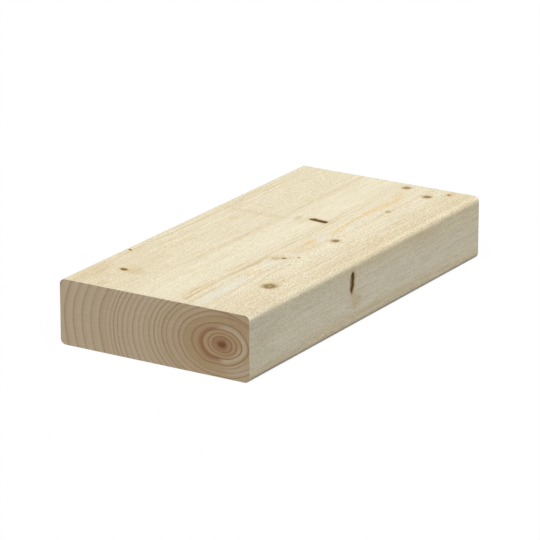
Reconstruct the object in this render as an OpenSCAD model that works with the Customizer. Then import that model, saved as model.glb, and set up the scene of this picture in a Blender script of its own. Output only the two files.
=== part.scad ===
// Dressed softwood plank: one sawn length of structural timber with planed faces,
// rounded long edges and square-sawn ends.
// Millimetres. X runs along the grain, Y across the broad face, Z up through the thickness.
// The origin lies on the underside, below the middle of the plank.

/* [Section] */
// Width of the broad faces, across the grain
plank_width = 145; // [60:1:300]
// Thickness between the two broad faces
plank_thickness = 45; // [16:1:100]
// Radius planed along each of the four long edges
edge_radius = 4; // [0.5:0.5:7.5]

/* [Length] */
// Length between the two sawn ends, along the grain
plank_length = 300; // [100:10:6000]

/* [Hidden] */
// Segments of a full circle in the rounded edges
$fn = 96;
// Pale planed spruce
wood_colour = [0.91, 0.86, 0.74];
// Centre lines of the rounded edges, measured from the middle of the section
edge_centre_y = plank_width / 2 - edge_radius;
edge_centre_z = plank_thickness / 2 - edge_radius;

// Cross-section of the plank, centred: a rectangle with its four corners rounded
module plank_section() {
    square([2 * edge_centre_y, plank_thickness], center = true);
    square([plank_width, 2 * edge_centre_z], center = true);
    for (side = [-1, 1], face = [-1, 1])
        translate([side * edge_centre_y, face * edge_centre_z])
            circle(r = edge_radius);
}

// The plank lying flat on its underside, its section drawn out along the grain
module plank() {
    color(wood_colour)
        translate([-plank_length / 2, 0, plank_thickness / 2])
            rotate([90, 0, 90])
                linear_extrude(height = plank_length)
                    plank_section();
}

plank();
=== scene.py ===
import math

import bmesh
import bpy
import numpy as np
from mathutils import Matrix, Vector


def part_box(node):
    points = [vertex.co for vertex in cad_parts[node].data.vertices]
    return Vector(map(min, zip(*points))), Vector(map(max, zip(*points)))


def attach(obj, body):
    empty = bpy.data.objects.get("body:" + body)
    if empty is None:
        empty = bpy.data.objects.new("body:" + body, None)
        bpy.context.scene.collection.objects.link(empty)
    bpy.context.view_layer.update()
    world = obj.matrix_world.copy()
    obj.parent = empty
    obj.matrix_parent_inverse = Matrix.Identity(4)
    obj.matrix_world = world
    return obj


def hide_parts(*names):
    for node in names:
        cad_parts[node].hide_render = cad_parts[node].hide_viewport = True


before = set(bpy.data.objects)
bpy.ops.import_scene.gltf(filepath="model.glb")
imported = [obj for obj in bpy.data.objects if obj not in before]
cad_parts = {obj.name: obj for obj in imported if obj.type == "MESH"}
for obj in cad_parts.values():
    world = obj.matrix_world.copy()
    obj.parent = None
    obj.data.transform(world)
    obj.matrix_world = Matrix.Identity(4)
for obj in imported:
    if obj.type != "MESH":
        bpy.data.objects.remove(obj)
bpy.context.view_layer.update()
plankLow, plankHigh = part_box("plank")
mm = 0.001
perMetre = 1000.0  # millimetres, the unit of every pattern below
tiny = 1e-6  # keeps divisions off zero


# camera at the photograph's viewing angle
viewpoint = {
    "lens": 243.2,  # mm
    "sensor": 36.0,  # mm
    "place": (-1982.1, -1221.2, 791.6),  # mm from the middle of the underside
    "aim": (-2.75, 3.55, 21.06),  # mm
    "farthest": 50.0,  # m
}


def makeCamera():
    lensData = bpy.data.cameras.new("viewpoint")
    lensData.lens = viewpoint["lens"]
    lensData.sensor_width = viewpoint["sensor"]
    lensData.clip_end = viewpoint["farthest"]
    camera = bpy.data.objects.new("viewpoint", lensData)
    place = Vector(viewpoint["place"]) * mm
    aim = Vector(viewpoint["aim"]) * mm
    camera.location = place
    camera.rotation_euler = (aim - place).to_track_quat("-Z", "Y").to_euler()
    bpy.context.scene.collection.objects.link(camera)
    bpy.context.scene.camera = camera


# short ways to add nodes: a value may be a number, a tuple or another node's socket
def addNode(tree, kind, values=None, **settings):
    node = tree.nodes.new("ShaderNode" + kind)
    for name, setting in settings.items():
        setattr(node, name, setting)
    for socket, value in (values or {}).items():
        if isinstance(value, bpy.types.NodeSocket):
            tree.links.new(value, node.inputs[socket])
        else:
            node.inputs[socket].default_value = value
    return node


def calc(tree, operation, *values):
    return addNode(tree, "Math", dict(enumerate(values)), operation=operation).outputs[0]


def product(tree, *values):
    result = values[0]
    for value in values[1:]:
        result = calc(tree, "MULTIPLY", result, value)
    return result


def vectorCalc(tree, operation, *values):
    return addNode(tree, "VectorMath", dict(enumerate(values)), operation=operation).outputs["Vector"]


def lengthOf(tree, vector):
    return addNode(tree, "VectorMath", {0: vector}, operation="LENGTH").outputs["Value"]


def partsOf(tree, vector):
    return addNode(tree, "SeparateXYZ", {0: vector}).outputs


def ramp(tree, value, low, high, start=0.0, end=1.0):
    values = {"Value": value, "From Min": low, "From Max": high, "To Min": start, "To Max": end}
    return addNode(tree, "MapRange", values, interpolation_type="SMOOTHSTEP").outputs["Result"]


def mixColour(tree, share, first, second, blend="MIX"):
    node = addNode(tree, "Mix", {0: share, 6: first, 7: second}, data_type="RGBA", blend_type=blend)
    return node.outputs[2]


plainTone = (1, 1, 1)


def toned(tree, colour, share, light, dark):
    # colour times a tone between light and dark
    tone = mixColour(tree, share, (*light, 1), (*dark, 1))
    return mixColour(tree, 1.0, colour, tone, "MULTIPLY")


def noiseAt(tree, place, scale, detail=2.0, rough=0.5):
    # noise from 0 to 1, with scale its features per mm along x, y and z
    spot = vectorCalc(tree, "MULTIPLY", place, scale)
    return addNode(tree, "TexNoise", {"Vector": spot, "Scale": 1.0, "Detail": detail, "Roughness": rough})


def curveOf(tree, value, points, reach, top):
    # smooth curve through given points, from 0..reach to 0..top
    node = addNode(tree, "FloatCurve", {"Value": calc(tree, "DIVIDE", value, reach)})
    curve = node.mapping.curves[0]
    while len(curve.points) < len(points):
        curve.points.new(0.5, 0.5)
    for spot, (along, level) in zip(curve.points, points):
        spot.location = (along / reach, level / top)
    node.mapping.update()
    return calc(tree, "MULTIPLY", node.outputs[0], top)


def newMaterial(name):
    material = bpy.data.materials.new(name)
    material.use_nodes = True
    material.node_tree.nodes.clear()
    return material, material.node_tree


# plain studio: pale floor, soft light from above and white surroundings
studio = {
    "floorSide": 30.0,  # m
    "floorGap": 0.05,  # mm under the plank
    "floorColour": (0.24, 0.24, 0.24, 1),  # what the floor throws back on the plank
    "shadowShare": 0.06,  # how much of the floor's white darkens in the shadow
    "skyStrength": 0.30,
    "sunStrength": 2.52,
    "sunSpread": 50.0,  # degrees
    "sunFrom": (-0.43, -0.38, 1.0),  # leaning towards the near end and the front edge
}


def shownDirectly(tree):
    # 1 where the camera sees the surface straight on, in gloss or through glass
    path = addNode(tree, "LightPath")
    seen = calc(tree, "MAXIMUM", path.outputs["Is Camera Ray"], path.outputs["Is Glossy Ray"])
    return calc(tree, "MAXIMUM", seen, path.outputs["Is Transmission Ray"])


def floorMaterial():
    material, tree = newMaterial("paleFloor")
    shade = studio["shadowShare"]
    bounce = addNode(tree, "BsdfDiffuse", {"Color": studio["floorColour"]})
    shadow = addNode(tree, "BsdfDiffuse", {"Color": (shade, shade, shade, 1)})
    glow = addNode(tree, "Emission", {"Color": (1, 1, 1, 1), "Strength": 1 - shade})
    shown = addNode(tree, "AddShader", {0: shadow.outputs[0], 1: glow.outputs[0]})
    both = addNode(tree, "MixShader", {0: shownDirectly(tree), 1: bounce.outputs[0], 2: shown.outputs[0]})
    addNode(tree, "OutputMaterial", {"Surface": both.outputs[0]})
    return material


def makeStudio():
    bm = bmesh.new()
    bmesh.ops.create_grid(bm, x_segments=1, y_segments=1, size=studio["floorSide"] / 2)
    floorMesh = bpy.data.meshes.new("floor")
    bm.to_mesh(floorMesh)
    bm.free()
    floorMesh.materials.append(floorMaterial())
    floor = bpy.data.objects.new("floor", floorMesh)
    floor.location.z = plankLow.z - studio["floorGap"] * mm
    bpy.context.scene.collection.objects.link(floor)

    sunData = bpy.data.lights.new("overhead", "SUN")
    sunData.energy = studio["sunStrength"]
    sunData.angle = math.radians(studio["sunSpread"])
    overhead = bpy.data.objects.new("overhead", sunData)
    overhead.rotation_euler = Vector(studio["sunFrom"]).to_track_quat("Z", "Y").to_euler()
    bpy.context.scene.collection.objects.link(overhead)

    world = bpy.data.worlds.new("whiteRoom")
    world.use_nodes = True
    tree = world.node_tree
    tree.nodes.clear()
    strength = ramp(tree, shownDirectly(tree), 0, 1, studio["skyStrength"], 1)
    sky = addNode(tree, "Background", {"Color": (1, 1, 1, 1), "Strength": strength})
    addNode(tree, "OutputWorld", {"Surface": sky.outputs[0]})
    bpy.context.scene.world = world
    bpy.context.scene.view_settings.view_transform = "Standard"


# knots on each face: x along the grain, side is y on the broad faces and z on the narrow ones,
# long and wide are half sizes along and across the grain, sink is how deep it dips, all in mm
plainKnot = {
    "lean": 0.0,  # degrees
    "taper": 0.0,  # how much it narrows downwards
    "blunt": 1.5,  # a knot wider than this many times its length is a slot with round ends
    "heart": 0.0,  # how plainly its light middle shows
    "halo": 0.4,  # how strong the stain round it is
    "soft": 0.25,  # how far its edge fades, as a share of its size
    "push": 0.0,  # mm, how far the grain bends round it
}
knotRows = {
    "top": [
        dict(x=-113.0, side=47.2, long=2.1, wide=3.2, lean=-16, dark=0.75, halo=0.8, sink=0.2, push=1.5),
        dict(x=-76.6, side=66.8, long=1.9, wide=1.1, lean=40, dark=0.68, halo=0.3, sink=0.1, push=0.6),
        dict(x=43.9, side=-6.5, long=2.7, wide=7.7, lean=-9, blunt=1.0, dark=0.95, heart=0.6, sink=1.1),
        dict(x=141.2, side=-19.6, long=3.3, wide=3.2, soft=0.5, dark=0.60, sink=0.2, push=3.0),
        dict(x=130.0, side=-42.4, long=3.3, wide=3.4, soft=0.5, dark=0.64, sink=0.2, push=2.8),
        dict(x=141.7, side=-53.1, long=1.7, wide=1.1, lean=30, dark=0.63, halo=1.2, sink=0.1, push=0.8),
        dict(x=11.5, side=-39.1, long=3.2, wide=3.2, soft=0.45, dark=0.64, sink=0.2, push=3.0),
        dict(x=86.0, side=-36.5, long=2.2, wide=1.7, soft=0.45, dark=0.42, sink=0.1, push=2.0),
        dict(
            x=-92.6, side=-51.6, long=5.2, wide=5.1, soft=0.4,
            dark=0.64, heart=0.8, halo=0.5, sink=0.25, push=4.2,
        ),
        dict(x=-38.4, side=-29.3, long=1.8, wide=1.7, lean=20, dark=0.62, halo=0.6, sink=0.15, push=2.0),
        dict(
            x=-41.6, side=-25.2, long=2.8, wide=3.0,
            dark=0.22, heart=1.0, halo=0.6, sink=0.05, push=0.8,
        ),
        dict(x=-32.4, side=-37.1, long=1.6, wide=1.2, lean=30, dark=0.5, sink=0.1, push=0.8),
    ],
    "front": [
        dict(
            x=-22.8, side=30.9, long=2.7, wide=7.7, lean=-6, taper=0.06, blunt=1.9,
            dark=0.94, heart=0.6, sink=1.1,
        ),
        dict(x=-13.4, side=18.6, long=1.1, wide=0.9, lean=20, dark=0.25, sink=0.1, push=0.4),
    ],
    "bottom": [
        dict(
            x=-88.0, side=-45.0, long=4.0, wide=4.2, soft=0.35,
            dark=0.65, heart=0.9, halo=0.6, sink=0.25, push=3.6,
        ),
        dict(x=7.0, side=-58.0, long=3.1, wide=3.3, soft=0.4, dark=0.75, sink=0.2, push=2.8),
        dict(x=62.0, side=-20.0, long=2.2, wide=6.4, lean=8, dark=0.95, heart=0.3, sink=0.9),
        dict(x=122.0, side=-36.0, long=3.0, wide=2.8, soft=0.5, dark=0.65, sink=0.2, push=2.5),
        dict(x=-46.0, side=31.0, long=2.1, wide=2.3, dark=0.7, halo=0.6, sink=0.15, push=1.5),
    ],
    "back": [
        dict(x=-58.0, side=24.0, long=3.4, wide=3.0, soft=0.35, dark=0.7, heart=0.5, sink=0.2, push=3.0),
        dict(x=81.0, side=30.0, long=1.7, wide=1.6, dark=0.6, sink=0.1, push=1.2),
    ],
}
knots = [{**plainKnot, "face": face, **row} for face, rows in knotRows.items() for row in rows]

# soft pockets of colour on each face, by tint, with half sizes and lean like a knot's;
# a row's share is how much of the tint shows in its middle
plainPocket = {
    "lean": 0.0,  # degrees
    "core": 0.3,  # share of the half size inside which the tint is whole
}
pocketReach = {
    "depth": 9.0,  # mm below the face
    "fadeOut": 1.1,  # share of the half size where the tint ends
}
pocketRows = {
    "top": {
        "light": [
            dict(x=55, side=3.0, long=150, wide=20, share=0.5),
            dict(x=105, side=-17.0, long=44, wide=8, share=0.4),
            dict(x=60, side=-43.0, long=75, wide=9, share=0.45),
            dict(x=0, side=-42.0, long=26, wide=7, share=0.5),
            dict(x=-78, side=-63.0, long=15, wide=8, share=0.35),
            dict(x=77, side=57.0, long=24, wide=5, share=0.4),
            dict(x=-30, side=51.3, long=42, wide=1.6, share=0.7),
        ],
        "pale": [
            dict(x=-116, side=-30.8, long=42, wide=5.4, core=0.6, share=0.85),
            dict(x=-54, side=-28.5, long=13, wide=8.0, share=0.65),
            dict(x=-28, side=-32.0, long=7, wide=4.0, share=0.9),
            dict(x=13.5, side=-28.2, long=9, wide=4.6, core=0.5, share=0.8),
            dict(x=48, side=-33.6, long=10, wide=2.4, share=0.5),
            dict(x=66, side=-31.5, long=26, wide=3.0, share=0.35),
            dict(x=88, side=-20.6, long=8, wide=1.8, share=0.35),
        ],
        "orange": [
            dict(x=-120, side=-16.0, long=24, wide=3.4, share=0.45),
            dict(x=-74.5, side=-29.6, long=11, wide=4.6, lean=-8, share=0.6),
            dict(x=-11, side=-29.3, long=19, wide=5.8, core=0.6, share=0.42),
            dict(x=1, side=-26.0, long=7, wide=3.2, share=0.8),
            dict(x=32, side=-29.7, long=18, wide=3.9, lean=6, share=0.6),
            dict(x=55, side=-28.0, long=26, wide=2.4, share=0.6),
            dict(x=80, side=-27.6, long=18, wide=5.0, core=0.3, share=0.72),
            dict(x=103, side=-28.6, long=16, wide=5.0, lean=-4, core=0.3, share=0.70),
            dict(x=121, side=-25.2, long=14, wide=5.0, lean=15, core=0.3, share=0.6),
            dict(x=92, side=-30.8, long=11, wide=2.4, share=0.4),
            dict(x=146, side=-54.0, long=6, wide=3.5, share=0.5),
        ],
        "brown": [
            dict(x=-122, side=-14.6, long=22, wide=1.2, share=0.8),
            dict(x=-134, side=-18.9, long=14, wide=1.6, share=1.0),
            dict(x=-111, side=-18.3, long=20, wide=1.6, share=0.8),
            dict(x=-86, side=-18.2, long=14, wide=1.4, share=0.6),
            dict(x=-71, side=-13.5, long=19, wide=1.2, share=0.8),
            dict(x=-64, side=-19.0, long=26, wide=1.9, core=0.5, share=1.0),
            dict(x=-57, side=-21.4, long=9, wide=1.9, share=0.6),
            dict(x=-18, side=-17.5, long=38, wide=1.0, share=0.8),
            dict(x=40, side=-14.2, long=120, wide=0.9, share=0.4),
            dict(x=80, side=-16.6, long=80, wide=1.0, share=0.4),
            dict(x=100, side=-11.6, long=55, wide=0.9, share=0.25),
            dict(x=-128, side=-24.6, long=26, wide=1.1, share=0.65),
            dict(x=-112, side=-37.1, long=46, wide=1.1, share=0.5),
            dict(x=-80, side=-35.4, long=16, wide=1.1, lean=13, share=0.15),
            dict(x=-76, side=-41.4, long=16, wide=1.1, lean=9, share=0.55),
            dict(x=-60, side=-39.9, long=26, wide=1.2, share=0.55),
            dict(x=88, side=-37.7, long=72, wide=1.0, share=0.3),
            dict(x=20, side=-63.2, long=130, wide=1.3, share=0.22),
            dict(x=30, side=-54.8, long=130, wide=1.0, share=0.4),
            dict(x=-27, side=19.3, long=80, wide=3.6, share=0.31),
            dict(x=95, side=19.8, long=80, wide=3.3, share=0.3),
            dict(x=75, side=65.5, long=75, wide=1.0, lean=-1, share=0.40),
            dict(x=0, side=63.0, long=170, wide=1.1, lean=-1.15, share=0.48),
            dict(x=-118, side=58.8, long=16, wide=1.2, share=0.55),
            dict(x=-45, side=-54.9, long=45, wide=1.1, share=0.4),
            dict(x=90, side=-54.3, long=32, wide=1.1, share=0.55),
            dict(x=110, side=60.6, long=36, wide=1.0, share=0.5),
            dict(x=72, side=-57.7, long=36, wide=0.9, share=0.3),
            dict(x=88, side=-40.8, long=26, wide=1.1, share=0.35),
            dict(x=-30, side=55.8, long=42, wide=1.8, share=0.28),
            dict(x=-30, side=44.8, long=40, wide=1.3, share=0.3),
            dict(x=-125, side=47.0, long=80, wide=32, share=0.30),
            dict(x=60, side=42.0, long=190, wide=44, share=0.14),
            dict(x=0, side=-70.0, long=220, wide=14.0, share=0.24),
            dict(x=30, side=-56.0, long=190, wide=18, share=0.20),
            dict(x=-112, side=38.5, long=10, wide=7.5, share=0.45),
            dict(x=-144, side=45.0, long=8, wide=4.0, share=0.35),
            dict(x=-97, side=2.6, long=4.5, wide=1.0, share=0.7),
            dict(x=19, side=47.0, long=6, wide=3.0, share=0.35),
            dict(x=42, side=9.0, long=6, wide=4.5, share=0.6),
            dict(x=37, side=38.0, long=5, wide=34, share=0.28),
            dict(x=-128, side=63.0, long=34, wide=9, share=0.35),
            dict(x=-134, side=-55.0, long=44, wide=20, share=0.34),
            dict(x=136, side=-60.0, long=36, wide=18, share=0.22),
            dict(x=-35.5, side=-31.5, long=4, wide=6.5, lean=20, share=0.4),
            dict(x=-40, side=-27.0, long=10, wide=7, share=0.32),
            dict(x=-11, side=-29.3, long=19, wide=5.8, core=0.6, share=0.15),
            dict(x=-78, side=-51.5, long=12, wide=8, share=0.22),
            dict(x=-76, side=62.8, long=15, wide=6, share=0.28),
            dict(x=142, side=-53.0, long=7, wide=4.5, share=0.5),
            dict(x=38, side=0, long=9, wide=10, share=0.22),
            dict(x=-41, side=-22.0, long=8, wide=7, share=0.2),
            dict(x=-139, side=-23.0, long=10, wide=8, share=0.18),
            dict(x=-30, side=44.0, long=55, wide=14, share=0.06),
            dict(x=38, side=-18.3, long=15, wide=1.4, share=0.3),
            dict(x=-86, side=68.0, long=13, wide=2.6, share=0.25),
            dict(x=-106, side=46.3, long=7, wide=3.2, share=0.25),
            dict(x=-86, side=-44.6, long=10, wide=1.6, share=0.3),
            dict(x=-150, side=0, long=2.2, wide=260, share=0.22),
        ],
        "grey": [
            dict(x=-150, side=0, long=2.2, wide=260, share=0.45),
        ],
    },
    "front": {
        "pale": [
            dict(x=0, side=20.0, long=220, wide=14, share=0.36),
        ],
        "brown": [
            dict(x=-19, side=16.5, long=9, wide=7.5, share=0.5),
            dict(x=0, side=6.5, long=210, wide=5.0, share=0.35),
            dict(x=-20, side=38.0, long=200, wide=5.0, share=0.12),
            dict(x=-135, side=27.0, long=12, wide=8, share=0.2),
            dict(x=-142, side=30.0, long=30, wide=22, share=0.25),
            dict(x=72, side=37.0, long=26, wide=5.0, share=0.2),
            dict(x=92, side=32.0, long=60, wide=12, share=0.1),
            dict(x=-128, side=4.5, long=34, wide=4.0, share=0.35),
            dict(x=-118, side=41.0, long=26, wide=3.6, share=0.2),
            dict(x=146, side=33.0, long=9, wide=7, share=0.18),
        ],
        "grey": [
            dict(x=-142, side=28.0, long=34, wide=32, share=0.38),
            dict(x=-106, side=9.0, long=34, wide=7, share=0.3),
            dict(x=-90, side=38.0, long=115, wide=15, share=0.36),
        ],
    },
}

plankShape = {
    "cell": 1.5,  # mm, size of the mesh's cells along and across the faces
    "edgeSegments": 8,  # facets round each long edge
    "endBreak": 0.2,  # mm, the small break round each sawn end
    "breakSegments": 2,
    "longEdge": 1.0,  # mm, an edge that reaches farther than this along the grain is a long one
    "flatTolerance": 0.01,  # mm
    "cutTolerance": 0.0001,  # mm
    "sharpAngle": 50.0,  # degrees
    "squareEnd": 0.99,  # how squarely a face looks along the grain before it is shaded flat
    "knotCuts": 2,  # extra cuts in the cells at a knot
    "knotReach": 1.5,  # mm, how far past a knot's edge the extra cuts go
    "knotDepth": 4.5,  # mm, how far below a face its knots reach
    "knotDip": (0.45, 1.02),  # shares of a knot's size between which its dip comes up to the face
}
# for each face the axis across its grain, the axis out of it and which way that points
faceAxes = {
    "top": {"across": 1, "depth": 2, "outward": 1},
    "bottom": {"across": 1, "depth": 2, "outward": -1},
    "front": {"across": 2, "depth": 1, "outward": -1},
    "back": {"across": 2, "depth": 1, "outward": 1},
}
grainBend = {
    "fade": (2.2, 3.0),  # knot sizes from its middle between which a knot's looks fade out
    "stretch": 2.4,  # how much longer than wide a bend in the grain is
    "calm": 0.2,  # how gently the grain bends close to the knot
    "reach": 5.0,  # how many pushes to the side it takes a bend to die away
}


def faceWall(face):
    # where a face lies along its own axis, in mm
    axes = faceAxes[face]
    corner = plankHigh if axes["outward"] > 0 else plankLow
    return corner[axes["depth"]] * perMetre


def knotCoordinates(knot, points):
    # places on a knot's face, 0 at its middle and 1 at its edge, and which points lie at that face
    axes = faceAxes[knot["face"]]
    along = points[:, 0] - knot["x"]
    side = points[:, axes["across"]] - knot["side"]
    lean = math.radians(knot["lean"])
    turnedAlong = along * math.cos(lean) + side * math.sin(lean)
    turnedSide = side * math.cos(lean) - along * math.sin(lean)
    turnedAlong = turnedAlong / (1 + knot["taper"] * np.clip(turnedSide / knot["wide"], -1, 1))
    # the straight part of a slot counts as its middle
    straight = max(knot["wide"] - knot["blunt"] * knot["long"], 0)
    turnedSide = np.sign(turnedSide) * np.maximum(np.abs(turnedSide) - straight, 0)
    near = np.abs(points[:, axes["depth"]] - faceWall(knot["face"])) < plankShape["knotDepth"]
    return turnedAlong / knot["long"], turnedSide / (knot["wide"] - straight), near


def smoothStep(low, high, values):
    share = np.clip((values - low) / (high - low), 0, 1)
    return share * share * (3 - 2 * share)


def edgeRadius():
    # the flat of the top face ends where the rounded long edges begin
    level = plankHigh.z - plankShape["flatTolerance"] * mm
    flat = [v.co.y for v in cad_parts["plank"].data.vertices if v.co.z > level]
    return plankHigh.y - max(flat)


def cutAcross(bm, axis, low, high):
    # even cuts between two planes, ends included
    cells = round((high - low) / (plankShape["cell"] * mm))
    for step in range(cells + 1):
        place = Vector()
        place[axis] = low + (high - low) * step / cells
        normal = Vector()
        normal[axis] = 1
        everything = bm.verts[:] + bm.edges[:] + bm.faces[:]
        tolerance = plankShape["cutTolerance"] * mm
        bmesh.ops.bisect_plane(bm, geom=everything, dist=tolerance, plane_co=place, plane_no=normal)


def roundOff(bm, edges, radius, segments):
    bmesh.ops.bevel(
        bm, geom=edges, offset=radius, segments=segments, profile=0.5, affect="EDGES", material=-1,
    )


def runsAlong(edge):
    return abs(edge.verts[0].co.x - edge.verts[1].co.x) > plankShape["longEdge"] * mm


def facesEnd(face):
    return abs(face.normal.x) > 0.5


def sawBlank():
    size = plankHigh - plankLow
    radius = edgeRadius()
    bm = bmesh.new()
    bmesh.ops.create_cube(bm, size=1)
    bmesh.ops.scale(bm, vec=size, verts=bm.verts)
    bmesh.ops.translate(bm, vec=(plankLow + plankHigh) / 2, verts=bm.verts)
    roundOff(bm, [e for e in bm.edges if runsAlong(e)], radius, plankShape["edgeSegments"])
    cutAcross(bm, 1, plankLow.y + radius, plankHigh.y - radius)
    cutAcross(bm, 2, plankLow.z + radius, plankHigh.z - radius)
    rim = [e for e in bm.edges if sum(facesEnd(f) for f in e.link_faces) == 1]
    roundOff(bm, rim, plankShape["endBreak"] * mm, plankShape["breakSegments"])
    for face in bm.faces:
        face.material_index = 1 if facesEnd(face) else 0
    longEdges = [e for e in bm.edges if runsAlong(e)]
    steps = round(size.x / (plankShape["cell"] * mm))
    bmesh.ops.subdivide_edges(bm, edges=longEdges, cuts=steps - 1, use_grid_fill=True)
    print("blank sawn:", len(bm.faces), "faces")
    return bm


def refineAtKnots(bm):
    points = np.array([v.co for v in bm.verts]) * perMetre
    wanted = np.zeros(len(points), bool)
    for knot in knots:
        along, side, near = knotCoordinates(knot, points)
        reach = 1 + plankShape["knotReach"] / min(knot["long"], knot["wide"])
        wanted |= near & (np.hypot(along, side) < reach)
    bm.verts.index_update()
    edges = [e for e in bm.edges if wanted[e.verts[0].index] and wanted[e.verts[1].index]]
    bmesh.ops.subdivide_edges(bm, edges=edges, cuts=plankShape["knotCuts"], use_grid_fill=True)
    print("knots refined:", len(edges), "edges cut")


def carveKnots(points):
    # knots sit a little below the planed face, and the split ones are open slots
    for knot in knots:
        along, side, near = knotCoordinates(knot, points)
        axes = faceAxes[knot["face"]]
        dip = knot["sink"] * (1 - smoothStep(*plankShape["knotDip"], np.hypot(along, side)))
        points[:, axes["depth"]] -= np.where(near, dip * axes["outward"], 0)


def markKnots(mesh, points):
    # place on the nearest knot, its looks and how the grain bends round it, read by the wood material
    farOff = grainBend["fade"][1]
    spots = np.zeros((len(points), 3))
    looks = np.zeros((len(points), 3))
    shifts = np.zeros((len(points), 3))
    nearest = np.full(len(points), np.inf)
    for knot in knots:
        along, side, near = knotCoordinates(knot, points)
        away = np.hypot(along, side)
        mine = near & (away < nearest)
        limit = np.minimum(1, farOff / np.maximum(away, tiny))
        fade = 1 - smoothStep(*grainBend["fade"], away)
        spots[mine] = np.column_stack([along * limit, side * limit, knot["dark"] * fade])[mine]
        looks[mine] = (knot["heart"], knot["halo"], knot["soft"])
        nearest[mine] = away[mine]
        across = faceAxes[knot["face"]]["across"]
        alongGrain = (points[:, 0] - knot["x"]) / grainBend["stretch"]
        offGrain = points[:, across] - knot["side"]
        push = knot["push"]
        spread = alongGrain**2 + offGrain**2 + grainBend["calm"] * push**2 + tiny
        dying = np.exp(-((offGrain / (grainBend["reach"] * push + 1)) ** 2))
        shifts[:, across] += np.where(near, -offGrain * push**2 / spread * dying, 0)
    for name, values in (("knotSpot", spots), ("knotLook", looks), ("grainShift", shifts)):
        data = mesh.attributes.new(name, "FLOAT_VECTOR", "POINT").data
        data.foreach_set("vector", values.ravel())


# the tree the plank was cut from: its heart is off centre, near the front edge
# a pair of numbers is where something starts and where it is whole, in mm from the heart
growth = {
    "heartSide": -51.8,  # mm, y of the pith
    "heartHeight": 22.5,  # mm, z of the pith
    "driftScale": (0.008, 0.012, 0.012),  # the grain's slow wander, per mm
    "drift": (0, 5.0, 5.0),  # mm
    "flattening": 1.5,  # the rings are wider across than they are high
    "pithOffset": (0, 0.4, -0.3),  # mm, the pith itself against the middle of the first rings
    "pithReach": (13, 5),
    "below": (2, -6),  # height, from above the pith to below it
    "rounding": 0.3,  # less flattened far below the pith
    "roundingSpan": (35, 72),
    "heartFlattening": 0.14,  # flatter still round the fourth ring
    "flatHeights": (24, 12),
    "flatSpan": (35, 10),
    "behindSpan": (3, 12),
    "heartRounding": 0.3,  # and rounder round the first two
    "heartStart": (2, 6),
    "heartEnd": (18, 6),
    "squeeze": 3.1,  # mm, how far the rings crowd together at the front edge
    "crowdHeights": (-8, 8),
    "crowdStart": (13, 20),
    "crowdWhole": 21,
    "crowdEnd": (32, 27),  # radius below and above the pith
    "crowdSide": (0, -0.4),  # distance across over radius where it starts, below and above the pith
    "pinch": 0.6,  # how much closer the fifth and sixth rings run above the pith on that side
    "pinchRadius": 30.7,
    "pinchReach": (5, 1.5),
    "pinchHeights": (10, 24),
    "pinchSpan": (-2, -12),
    "wobbleScale": (0.02, 0.11, 0.11),
    "wobble": (0.2, 0.8, -0.25, 0.25),  # noise and the mm it moves a ring
    "rings": [  # radius in mm and the ring it reaches
        (0, 0), (7.3, 1), (10.8, 2), (14.9, 3), (22.7, 4), (29.0, 5), (32.8, 6), (37.2, 7), (42.0, 8),
        (51.6, 11), (59.5, 13), (79.8, 18), (89.2, 21), (93.6, 22), (100.5, 23), (120.6, 26), (134.4, 28),
    ],
    "reach": 134.4,
    "ringCount": 28.0,
    "lineWidth": (2.0, 1.2, 0.16, 0.2),  # ages, and the half width of a ring's line as a share of the year
    "lineCore": 0.03,
    "skirtStart": 0.35,  # share of a year
    "skirts": [  # age and how much that year darkens towards its line
        (0, 0.55), (1.9, 0.55), (2.1, 0.1), (3.0, 0.1), (3.5, 0.35), (28, 0.35),
    ],
}


def woodPlace(tree):
    # place in the wood in mm, following the grain as it bends round knots and wanders along the plank
    coordinates = addNode(tree, "TexCoord").outputs["Object"]
    bend = addNode(tree, "Attribute", attribute_name="grainShift").outputs["Vector"]
    place = vectorCalc(tree, "MULTIPLY", coordinates, (perMetre, perMetre, perMetre))
    place = vectorCalc(tree, "ADD", place, bend)
    slow = noiseAt(tree, place, growth["driftScale"], 1.0)
    drift = vectorCalc(tree, "SUBTRACT", slow.outputs["Color"], (0.5, 0.5, 0.5))
    drift = vectorCalc(tree, "MULTIPLY", drift, growth["drift"])
    return vectorCalc(tree, "ADD", place, drift)


def byAge(tree, age, points):
    return curveOf(tree, age, points, growth["ringCount"], 1.0)


def flattenedHeight(tree, fromPith, across, height):
    # height from the pith, drawn out to make the rings round
    below = ramp(tree, height, *growth["below"])
    rounder = product(tree, below, ramp(tree, across, *growth["roundingSpan"], 0, growth["rounding"]))
    off = calc(tree, "ABSOLUTE", height)
    flatter = ramp(tree, off, *growth["flatHeights"], 0, growth["heartFlattening"])
    behind = product(tree, below, ramp(tree, across, *growth["behindSpan"]))
    inFront = calc(tree, "SUBTRACT", 1.0, behind)
    flatter = product(tree, flatter, ramp(tree, across, *growth["flatSpan"]), inFront)
    firstRings = product(
        tree, ramp(tree, fromPith, *growth["heartStart"]), ramp(tree, fromPith, *growth["heartEnd"]),
    )
    rounder = calc(tree, "ADD", rounder, product(tree, firstRings, growth["heartRounding"]))
    flattening = calc(tree, "SUBTRACT", calc(tree, "ADD", flatter, growth["flattening"]), rounder)
    return calc(tree, "MULTIPLY", height, flattening)


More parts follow.
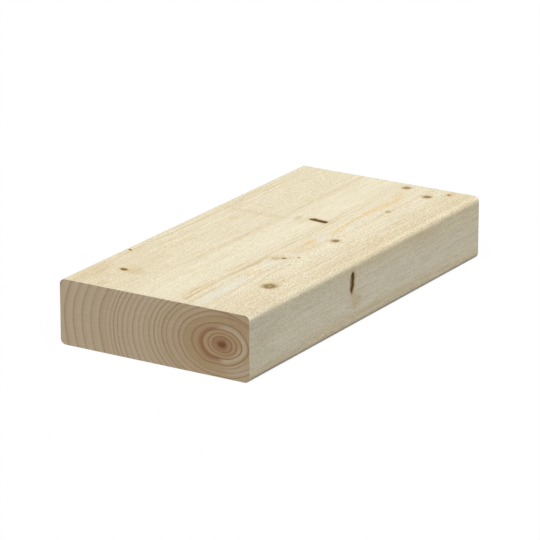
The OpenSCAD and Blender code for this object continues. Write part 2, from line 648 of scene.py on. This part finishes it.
def ringRadius(tree, place, across, height):
    # radius of the ring, with the rings crowded at the front edge and pinched above the pith
    radius = lengthOf(tree, addNode(tree, "CombineXYZ", {1: across, 2: height}).outputs[0])
    crowdEnd = ramp(tree, height, *growth["crowdHeights"], *growth["crowdEnd"])
    crowdSide = ramp(tree, height, *growth["crowdHeights"], *growth["crowdSide"])
    crowding = product(
        tree,
        ramp(tree, radius, *growth["crowdStart"]),
        ramp(tree, radius, crowdEnd, growth["crowdWhole"], 0, growth["squeeze"]),
        ramp(tree, calc(tree, "DIVIDE", across, radius), crowdSide, -1),
    )
    radius = calc(tree, "ADD", radius, crowding)
    upperFront = product(
        tree, ramp(tree, height, *growth["pinchHeights"]), ramp(tree, across, *growth["pinchSpan"]),
    )
    fromPinch = calc(tree, "SUBTRACT", radius, growth["pinchRadius"])
    pinch = ramp(tree, calc(tree, "ABSOLUTE", fromPinch), *growth["pinchReach"], 0, growth["pinch"])
    radius = calc(tree, "ADD", radius, product(tree, pinch, fromPinch, upperFront))
    wobble = noiseAt(tree, place, growth["wobbleScale"]).outputs["Fac"]
    return calc(tree, "ADD", radius, ramp(tree, wobble, *growth["wobble"]))


def ringPattern(tree, place):
    heart = (0, growth["heartSide"], growth["heartHeight"])
    fromHeart = vectorCalc(tree, "SUBTRACT", place, heart)
    fromPith = lengthOf(tree, vectorCalc(tree, "MULTIPLY", fromHeart, (0, 1, growth["flattening"])))
    nearPith = ramp(tree, fromPith, *growth["pithReach"])
    shift = addNode(tree, "VectorMath", {0: growth["pithOffset"], "Scale": nearPith}, operation="SCALE")
    offset = partsOf(tree, vectorCalc(tree, "SUBTRACT", fromHeart, shift.outputs["Vector"]))
    across = offset["Y"]
    height = flattenedHeight(tree, fromPith, across, offset["Z"])
    radius = ringRadius(tree, place, across, height)
    age = curveOf(tree, radius, growth["rings"], growth["reach"], growth["ringCount"])
    sinceLine = calc(tree, "FRACT", calc(tree, "ADD", age, 0.5))
    fromLine = calc(tree, "ABSOLUTE", calc(tree, "SUBTRACT", sinceLine, 0.5))
    line = ramp(tree, fromLine, ramp(tree, age, *growth["lineWidth"]), growth["lineCore"])
    skirtShare = byAge(tree, age, growth["skirts"])
    skirt = ramp(tree, calc(tree, "FRACT", age), growth["skirtStart"], 1.0, 0, skirtShare)
    late = calc(tree, "MAXIMUM", line, skirt)
    return {"radius": radius, "age": age, "line": line, "late": late, "across": across, "height": height}


# fine patterns in the wood: features per mm along and across the grain, detail and roughness
fibreLooks = {
    "vein": ((0.012, 0.42, 0.42), 2.0, 0.5),  # broad
    "streak": ((0.03, 0.8, 0.8), 4.0, 0.5),  # long and faint
    "dash": ((0.16, 1.2, 1.2), 2.0, 0.5),  # short
    "speck": ((0.65, 1.1, 1.1), 3.0, 0.65),
    "fibre": ((0.08, 3.4, 3.4), 3.0, 0.6),  # thin as a hair
}


def fibres(tree, place):
    return {name: noiseAt(tree, place, *look).outputs["Fac"] for name, look in fibreLooks.items()}


def grained(tree, colour, noise, look, amount=None):
    # colour toned by a noise, between the look's two tones
    share = ramp(tree, noise, *look["span"])
    if amount is not None:
        share = calc(tree, "MULTIPLY_ADD", calc(tree, "SUBTRACT", share, 0.5), amount, 0.5)
    return toned(tree, colour, share, *look["tones"])


def finishWood(tree, colour, gloss, relief, look):
    depth = look["bumpDepth"] * mm
    bump = addNode(tree, "Bump", {"Strength": look["bump"], "Distance": depth, "Height": relief})
    values = {"Base Color": colour, "Roughness": gloss, "Specular IOR Level": look["sheen"]}
    surface = addNode(tree, "BsdfPrincipled", {**values, "Normal": bump.outputs[0]})
    addNode(tree, "OutputMaterial", {"Surface": surface.outputs[0]})


def pocketShare(tree, place, tint):
    # the pockets of one tint, added up: soft balls drawn out along the grain
    total = 0.0
    for face, tints in pocketRows.items():
        axes = faceAxes[face]
        for row in tints.get(tint, []):
            pocket = {**plainPocket, **row}
            middle = Vector((pocket["x"], 0, 0))
            middle[axes["across"]] = pocket["side"]
            middle[axes["depth"]] = faceWall(face)
            reach = Vector((pocket["long"], 0, 0))
            reach[axes["across"]] = pocket["wide"]
            reach[axes["depth"]] = pocketReach["depth"]
            turn = Vector()
            turn[axes["depth"]] = math.radians(pocket["lean"])
            size = reach * pocketReach["fadeOut"]
            values = {"Vector": place, "Location": middle, "Rotation": turn, "Scale": size}
            spot = addNode(tree, "Mapping", values, vector_type="TEXTURE").outputs[0]
            ball = addNode(tree, "TexGradient", {"Vector": spot}, gradient_type="SPHERICAL").outputs["Fac"]
            full = 1 - pocket["core"] / pocketReach["fadeOut"]
            total = calc(tree, "ADD", total, ramp(tree, ball, 0, full, 0, pocket["share"]))
    return total


# the rounded long edges, in shares of their radius: where the painted highlight and the painted shade start
# and where they are whole
edgeLooks = {
    "highlightSide": (0.75, 0.35),  # in from the narrow face
    "highlightTop": (1.0, 0.6),  # in from the broad face
    "paintedLowerShade": (0.95, 0.2),  # up from the floor
    # painted highlight: lighter colour on the rounded edges, standing in for light
    "paintedHighlightTone": (1.05, 1.05, 1.05),
    # painted shade: darker colour on the lower edges, standing in for shade near the floor
    "paintedLowerShadeTone": (0.70, 0.73, 0.82),
}


def edgeRamp(tree, value, name):
    radius = edgeRadius()
    start, whole = edgeLooks[name]
    return ramp(tree, value, radius * start, radius * whole)


def paintedEdgeLight(tree, colour):
    # painted highlight where the long edges turn to the narrow face, painted shade where the lower ones
    # turn in to the floor
    coordinates = addNode(tree, "TexCoord").outputs["Object"]
    middle = (plankLow + plankHigh) / 2
    half = (plankHigh - plankLow) / 2
    fromMiddle = vectorCalc(tree, "ABSOLUTE", vectorCalc(tree, "SUBTRACT", coordinates, middle))
    inwards = partsOf(tree, vectorCalc(tree, "SUBTRACT", half, fromMiddle))
    # painted highlight on the rounded long edges
    paintedHighlight = product(tree, edgeRamp(tree, inwards["Y"], "highlightSide"), edgeRamp(tree, inwards["Z"], "highlightTop"))
    colour = toned(tree, colour, paintedHighlight, plainTone, edgeLooks["paintedHighlightTone"])
    # painted shade on the lower long edges, where they turn in to the floor
    paintedLowerShade = edgeRamp(tree, partsOf(tree, coordinates)["Z"], "paintedLowerShade")
    return toned(tree, colour, paintedLowerShade, plainTone, edgeLooks["paintedLowerShadeTone"])


# distances are in sizes of the knot from its middle
knotWood = {
    "haloColour": (0.66, 0.46, 0.20, 1),
    "heartColour": (0.62, 0.46, 0.23, 1),
    "middleColour": (0.36, 0.23, 0.075, 1),
    "edgeColour": (0.085, 0.043, 0.012, 1),
    "haloReach": (2.3, 0.8),
    "heartReach": (0.42, 0.02),
    "whole": 0.9,  # a hard-edged knot is whole inside this
    "presence": 1.4,  # how much sooner than its darkness a faint knot hides the wood
    "unevenScale": (0.4, 0.4, 0.4),
    "uneven": (0.2, 0.8, -0.07, 0.07),  # noise and how far it moves a knot's edge
    "rings": 3.6,  # growth rings from a knot's middle to its edge
    "ringTones": ((1.12, 1.12, 1.12), (0.88, 0.87, 0.85)),
}


def knotColours(tree, wood, place):
    # a knot's dark rim, its lighter heart and the stained halo round it, laid over the wood's colour
    spot = addNode(tree, "Attribute", attribute_name="knotSpot").outputs["Vector"]
    look = partsOf(tree, addNode(tree, "Attribute", attribute_name="knotLook").outputs["Vector"])
    heart, haloShare, soft = look["X"], look["Y"], look["Z"]
    dark = partsOf(tree, spot)["Z"]
    away = lengthOf(tree, vectorCalc(tree, "MULTIPLY", spot, (1, 1, 0)))
    uneven = noiseAt(tree, place, knotWood["unevenScale"], 1.5).outputs["Fac"]
    away = calc(tree, "ADD", away, ramp(tree, uneven, *knotWood["uneven"]))
    outer = calc(tree, "ADD", 1.0, soft)
    inner = calc(tree, "SUBTRACT", knotWood["whole"], soft)
    within = ramp(tree, away, outer, inner)
    presence = calc(tree, "MINIMUM", 1.0, product(tree, dark, knotWood["presence"]))
    shade = product(tree, within, dark, dark)
    knot = mixColour(tree, shade, knotWood["middleColour"], knotWood["edgeColour"])
    middle = product(tree, ramp(tree, away, *knotWood["heartReach"]), heart)
    knot = mixColour(tree, middle, knot, knotWood["heartColour"])
    # the branch's own growth rings
    wave = calc(tree, "COSINE", calc(tree, "MULTIPLY", away, 2 * math.pi * knotWood["rings"]))
    knot = toned(tree, knot, ramp(tree, wave, -1, 1), *knotWood["ringTones"])
    halo = product(tree, ramp(tree, away, *knotWood["haloReach"]), haloShare, dark)
    colour = mixColour(tree, halo, wood, knotWood["haloColour"])
    return mixColour(tree, product(tree, within, presence), colour, knot)


# spans are the noise, or the mm from the heart, where something starts and where it is whole
planedWood = {
    "early": (0.866, 0.790, 0.594, 1),
    "late": (0.72, 0.575, 0.355, 1),
    "tints": {  # of the pockets, in the order they are laid on
        "light": (0.90, 0.83, 0.64, 1),
        "pale": (0.83, 0.785, 0.645, 1),
        "orange": (0.855, 0.665, 0.385, 1),
        "brown": (0.70, 0.565, 0.335, 1),
        "grey": (0.74, 0.70, 0.55, 1),
    },
    "lines": [  # age of a ring and how plainly its line shows on the planed faces
        (0, 0.1), (6, 0.15), (7, 0.45), (8, 0.4), (9, 0.4), (10, 0.7), (11, 0.55), (12, 0.12),
        (16, 0.1), (17, 0.3), (18, 0.3), (19, 0.12), (24, 0.12), (26, 0.45), (28, 0.35),
    ],
    "lineBreaks": (0.3, 0.7, 0.4, 1.2),  # streaks, and how they weaken and strengthen the lines
    "brownVeins": (0.52, 0.75, 0, 0.25),
    "paleVeins": (0.45, 0.25, 0, 0.3),
    "fray": 3.0,  # mm, how far the pockets' edges fray along the fibres
    "streak": {"span": (0.75, 0.25), "tones": ((1.045, 1.055, 1.08), (0.95, 0.935, 0.90))},
    "dash": {"span": (0.55, 0.8), "tones": ((1, 1, 1), (0.90, 0.885, 0.85))},
    "speck": {"span": (0.75, 0.25), "tones": ((1.20, 1.22, 1.29), (0.79, 0.77, 0.69))},
    "fibre": {"span": (0.7, 0.3), "tones": ((1.09, 1.10, 1.13), (0.90, 0.88, 0.84))},
    "speckle": (70, 95, 0.64, 0.78),  # how speckled the wood is, by radius
    "coarse": 0.52,  # more speckled on the broad faces beside the heart
    "coarseSpan": (48, 36),
    "broadHeights": (26, 33),
    "paleSpeckle": (0, 0.9, 1, 0.45),  # and less in the pale pockets
    "fibreShare": 0.62,
    "dashRelief": 0.5,
    "fibreRelief": 0.5,
    "lineRelief": -0.3,
    "bump": 0.25,
    "bumpDepth": 0.2,  # mm
    "gloss": (0.25, 0.75, 0.74, 0.58),  # streaks and their roughness
    "sheen": 0.12,
}


def planedMaterial():
    material, tree = newMaterial("planedSoftwood")
    place = woodPlace(tree)
    rings = ringPattern(tree, place)
    fine = fibres(tree, place)
    tints = planedWood["tints"]

    lineShare = product(
        tree,
        byAge(tree, rings["age"], planedWood["lines"]),
        rings["late"],
        ramp(tree, fine["streak"], *planedWood["lineBreaks"]),
    )
    colour = mixColour(tree, lineShare, planedWood["early"], planedWood["late"])
    colour = mixColour(tree, ramp(tree, fine["vein"], *planedWood["brownVeins"]), colour, tints["brown"])
    colour = mixColour(tree, ramp(tree, fine["vein"], *planedWood["paleVeins"]), colour, tints["pale"])

    fray = product(tree, calc(tree, "SUBTRACT", fine["streak"], 0.5), planedWood["fray"])
    frayed = vectorCalc(tree, "ADD", place, addNode(tree, "CombineXYZ", {1: fray, 2: fray}).outputs[0])
    shares = {tint: pocketShare(tree, frayed, tint) for tint in tints}
    for tint, share in shares.items():
        colour = mixColour(tree, share, colour, tints[tint])

    colour = grained(tree, colour, fine["streak"], planedWood["streak"])
    colour = grained(tree, colour, fine["dash"], planedWood["dash"])
    broad = ramp(tree, calc(tree, "ABSOLUTE", rings["height"]), *planedWood["broadHeights"])
    besideHeart = ramp(tree, rings["radius"], *planedWood["coarseSpan"])
    coarse = product(tree, besideHeart, broad, planedWood["coarse"])
    amount = calc(tree, "ADD", ramp(tree, rings["radius"], *planedWood["speckle"]), coarse)
    amount = product(tree, amount, ramp(tree, shares["pale"], *planedWood["paleSpeckle"]))
    colour = grained(tree, colour, fine["speck"], planedWood["speck"], amount)
    colour = grained(tree, colour, fine["fibre"], planedWood["fibre"], planedWood["fibreShare"])
    # painted highlight and painted shade on the rounded long edges
    colour = paintedEdgeLight(tree, colour)
    colour = knotColours(tree, colour, place)

    relief = calc(tree, "MULTIPLY_ADD", fine["dash"], planedWood["dashRelief"], fine["streak"])
    relief = calc(tree, "MULTIPLY_ADD", fine["fibre"], planedWood["fibreRelief"], relief)
    relief = calc(tree, "MULTIPLY_ADD", rings["line"], planedWood["lineRelief"], relief)
    gloss = ramp(tree, fine["streak"], *planedWood["gloss"])
    finishWood(tree, colour, gloss, relief, planedWood)
    return material


sawnWood = {
    "early": (0.712, 0.570, 0.400, 1),
    "late": (0.41, 0.26, 0.12, 1),
    "innerLate": (0.41, 0.235, 0.125, 1),
    "inner": (0.59, 0.405, 0.232, 1),  # the first rings, darker and redder
    "pith": (0.265, 0.128, 0.058, 1),
    "aroundPith": (0.487, 0.289, 0.164, 1),
    "crescent": (0.43, 0.238, 0.128, 1),
    "paleCrescent": (0.70, 0.58, 0.41, 1),
    # parts of the end, each bounded by values of the ring pattern: where it starts and where it is whole
    "zones": {
        "inner": [("radius", 60, 5)],
        "innerLate": [("radius", 34, 14)],
        "pith": [("radius", 5.4, 2.0)],
        "aroundPith": [("radius", 7.6, 4.6), ("across", -6.5, -2)],
        "crescent": [("radius", 14.2, 15.2), ("outer", 20.5, 15.8), ("slant", -1, 5.5)],
        "pale": [
            ("radius", 15.5, 17.4), ("radius", 22.9, 20), ("across", 5, -4), ("height", 4, 14, 1, 0.85),
        ],
        "innerPale": [
            ("radius", 11, 13), ("radius", 15.2, 14.2), ("across", -4, -10), ("height", 3, -5, 0, 0.5),
        ],
        "yellow": [("across", -8, 16, 0.15, 1.0)],
        "upperFront": [("height", 8, 26), ("across", 10, -10)],
        "lowerFront": [("height", -12, -22), ("across", 2, -10, 0, 0.8)],
        "paleYears": [("age", 4.05, 4.25), ("age", 6.6, 5.2)],
    },
    "outerDip": (-3, -14, 0, 1.0),  # heights, and how many mm wider the dark crescent is there
    "slant": -0.13,  # how the dark crescent's front edge leans
    "halfYear": 4.42,  # age of a faint line below the pith
    "halfYearLine": (0.13, 0.03, 0, 0.8),
    "yellowTone": (0.90, 0.88, 0.78),
    "yellowYears": [  # age and how yellow that year's wood is
        (0, 0), (3.9, 0), (4.3, 0.75), (4.8, 0.6), (5.1, 0), (8.1, 0.2), (8.6, 0.6), (9.5, 0.2),
        (12.0, 0.1), (12.5, 0.4), (13, 0), (21.1, 0.1), (21.5, 0.6), (22, 0.1), (28, 0),
    ],
    "upperYellow": 0.4,  # how yellow the wood is above the pith at the front edge
    "redTone": (0.90, 0.83, 0.84),
    "redYears": [  # age and how reddish that year's wood is there
        (0, 0), (3.9, 0), (4.1, 0.6), (4.5, 0.2), (4.9, 0.1), (5.1, 1), (5.9, 1), (6.3, 0), (28, 0),
    ],
    "lines": [  # age of a ring and how dark its line is on the sawn ends
        (0, 0.6), (1, 1.0), (2, 0.9), (3, 1.0), (4, 0.75), (5, 0.52), (6, 0.8), (7, 0.52), (8, 0.6),
        (9, 0.85), (10, 0.5), (11, 0.76), (12, 0.6), (13, 0.45), (14, 0.46), (15, 0.54), (16, 0.42),
        (17, 0.65), (18, 0.6), (19, 0.84), (20, 0.5), (21, 0.37), (22, 0.57), (23, 0.37), (24, 0.46),
        (25, 0.43), (26, 0.5), (28, 0.5),
    ],
    "speck": {"span": (0.75, 0.25), "tones": ((1.05, 1.05, 1.055), (0.94, 0.94, 0.935))},
    "dash": {"span": (0.75, 0.25), "tones": ((1.04, 1.04, 1.04), (0.95, 0.95, 0.945))},
    "saw": {"span": (0.7, 0.3), "tones": ((1.02, 1.02, 1.025), (0.97, 0.97, 0.97))},
    "sawScale": (0, 0.03, 1.3),
    "dashRelief": 0.8,
    "bump": 0.3,
    "bumpDepth": 0.2,  # mm
    "gloss": (0.25, 0.75, 0.9, 0.78),  # dashes and their roughness
    "sheen": 0.06,
}


def zoneShare(tree, rings, limits):
    return product(tree, *(ramp(tree, rings[name], *span) for name, *span in limits))


def sawnMaterial():
    material, tree = newMaterial("sawnEndGrain")
    place = woodPlace(tree)
    rings = ringPattern(tree, place)
    fine = fibres(tree, place)
    age = rings["age"]
    dip = ramp(tree, rings["height"], *sawnWood["outerDip"])
    rings["outer"] = calc(tree, "SUBTRACT", rings["radius"], dip)
    rings["slant"] = calc(tree, "MULTIPLY_ADD", rings["height"], sawnWood["slant"], rings["across"])
    zones = {name: zoneShare(tree, rings, limits) for name, limits in sawnWood["zones"].items()}

    colour = mixColour(tree, zones["inner"], sawnWood["early"], sawnWood["inner"])
    colour = mixColour(tree, zones["aroundPith"], colour, sawnWood["aroundPith"])
    colour = mixColour(tree, zones["crescent"], colour, sawnWood["crescent"])
    paleBand = calc(tree, "ADD", zones["pale"], zones["innerPale"])
    colour = mixColour(tree, paleBand, colour, sawnWood["paleCrescent"])
    yellow = product(tree, byAge(tree, age, sawnWood["yellowYears"]), zones["yellow"])
    yellow = calc(tree, "MULTIPLY_ADD", zones["upperFront"], sawnWood["upperYellow"], yellow)
    colour = toned(tree, colour, yellow, plainTone, sawnWood["yellowTone"])
    red = product(tree, byAge(tree, age, sawnWood["redYears"]), zones["upperFront"])
    colour = toned(tree, colour, red, plainTone, sawnWood["redTone"])

    # below the pith a pale half year with a faint line of its own, then the lines of every year
    lateColour = mixColour(tree, zones["innerLate"], sawnWood["late"], sawnWood["innerLate"])
    paleYears = product(tree, zones["lowerFront"], zones["paleYears"])
    colour = mixColour(tree, paleYears, colour, sawnWood["paleCrescent"])
    fromHalf = calc(tree, "ABSOLUTE", calc(tree, "SUBTRACT", age, sawnWood["halfYear"]))
    halfYear = product(tree, zones["lowerFront"], ramp(tree, fromHalf, *sawnWood["halfYearLine"]))
    colour = mixColour(tree, halfYear, colour, lateColour)
    lineShare = product(tree, rings["late"], byAge(tree, age, sawnWood["lines"]))
    colour = mixColour(tree, lineShare, colour, lateColour)
    colour = mixColour(tree, zones["pith"], colour, sawnWood["pith"])

    colour = grained(tree, colour, fine["speck"], sawnWood["speck"])
    colour = grained(tree, colour, fine["dash"], sawnWood["dash"])
    sawMarks = noiseAt(tree, place, sawnWood["sawScale"]).outputs["Fac"]
    colour = grained(tree, colour, sawMarks, sawnWood["saw"])
    relief = calc(tree, "MULTIPLY_ADD", fine["dash"], sawnWood["dashRelief"], rings["line"])
    relief = calc(tree, "ADD", relief, sawMarks)
    gloss = ramp(tree, fine["dash"], *sawnWood["gloss"])
    finishWood(tree, colour, gloss, relief, sawnWood)
    return material


def makePlank():
    bm = sawBlank()
    refineAtKnots(bm)
    mesh = bpy.data.meshes.new("plankWood")
    bm.to_mesh(mesh)
    bm.free()
    points = np.empty(len(mesh.vertices) * 3)
    mesh.vertices.foreach_get("co", points)
    points = points.reshape(-1, 3) * perMetre
    markKnots(mesh, points)
    carveKnots(points)
    mesh.vertices.foreach_set("co", (points * mm).ravel())
    mesh.shade_smooth()
    mesh.set_sharp_from_angle(angle=math.radians(plankShape["sharpAngle"]))
    for face in mesh.polygons:
        face.use_smooth = abs(face.normal.x) < plankShape["squareEnd"]
    mesh.materials.append(planedMaterial())
    mesh.materials.append(sawnMaterial())
    plank = bpy.data.objects.new("plankWood", mesh)
    bpy.context.scene.collection.objects.link(plank)
    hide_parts("plank")
    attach(plank, "root")
    mesh.calc_loop_triangles()
    print("plank made:", len(mesh.vertices), "vertices,", len(mesh.loop_triangles), "triangles")


makeCamera()
print("camera set")
makeStudio()
print("studio lit")
makePlank()
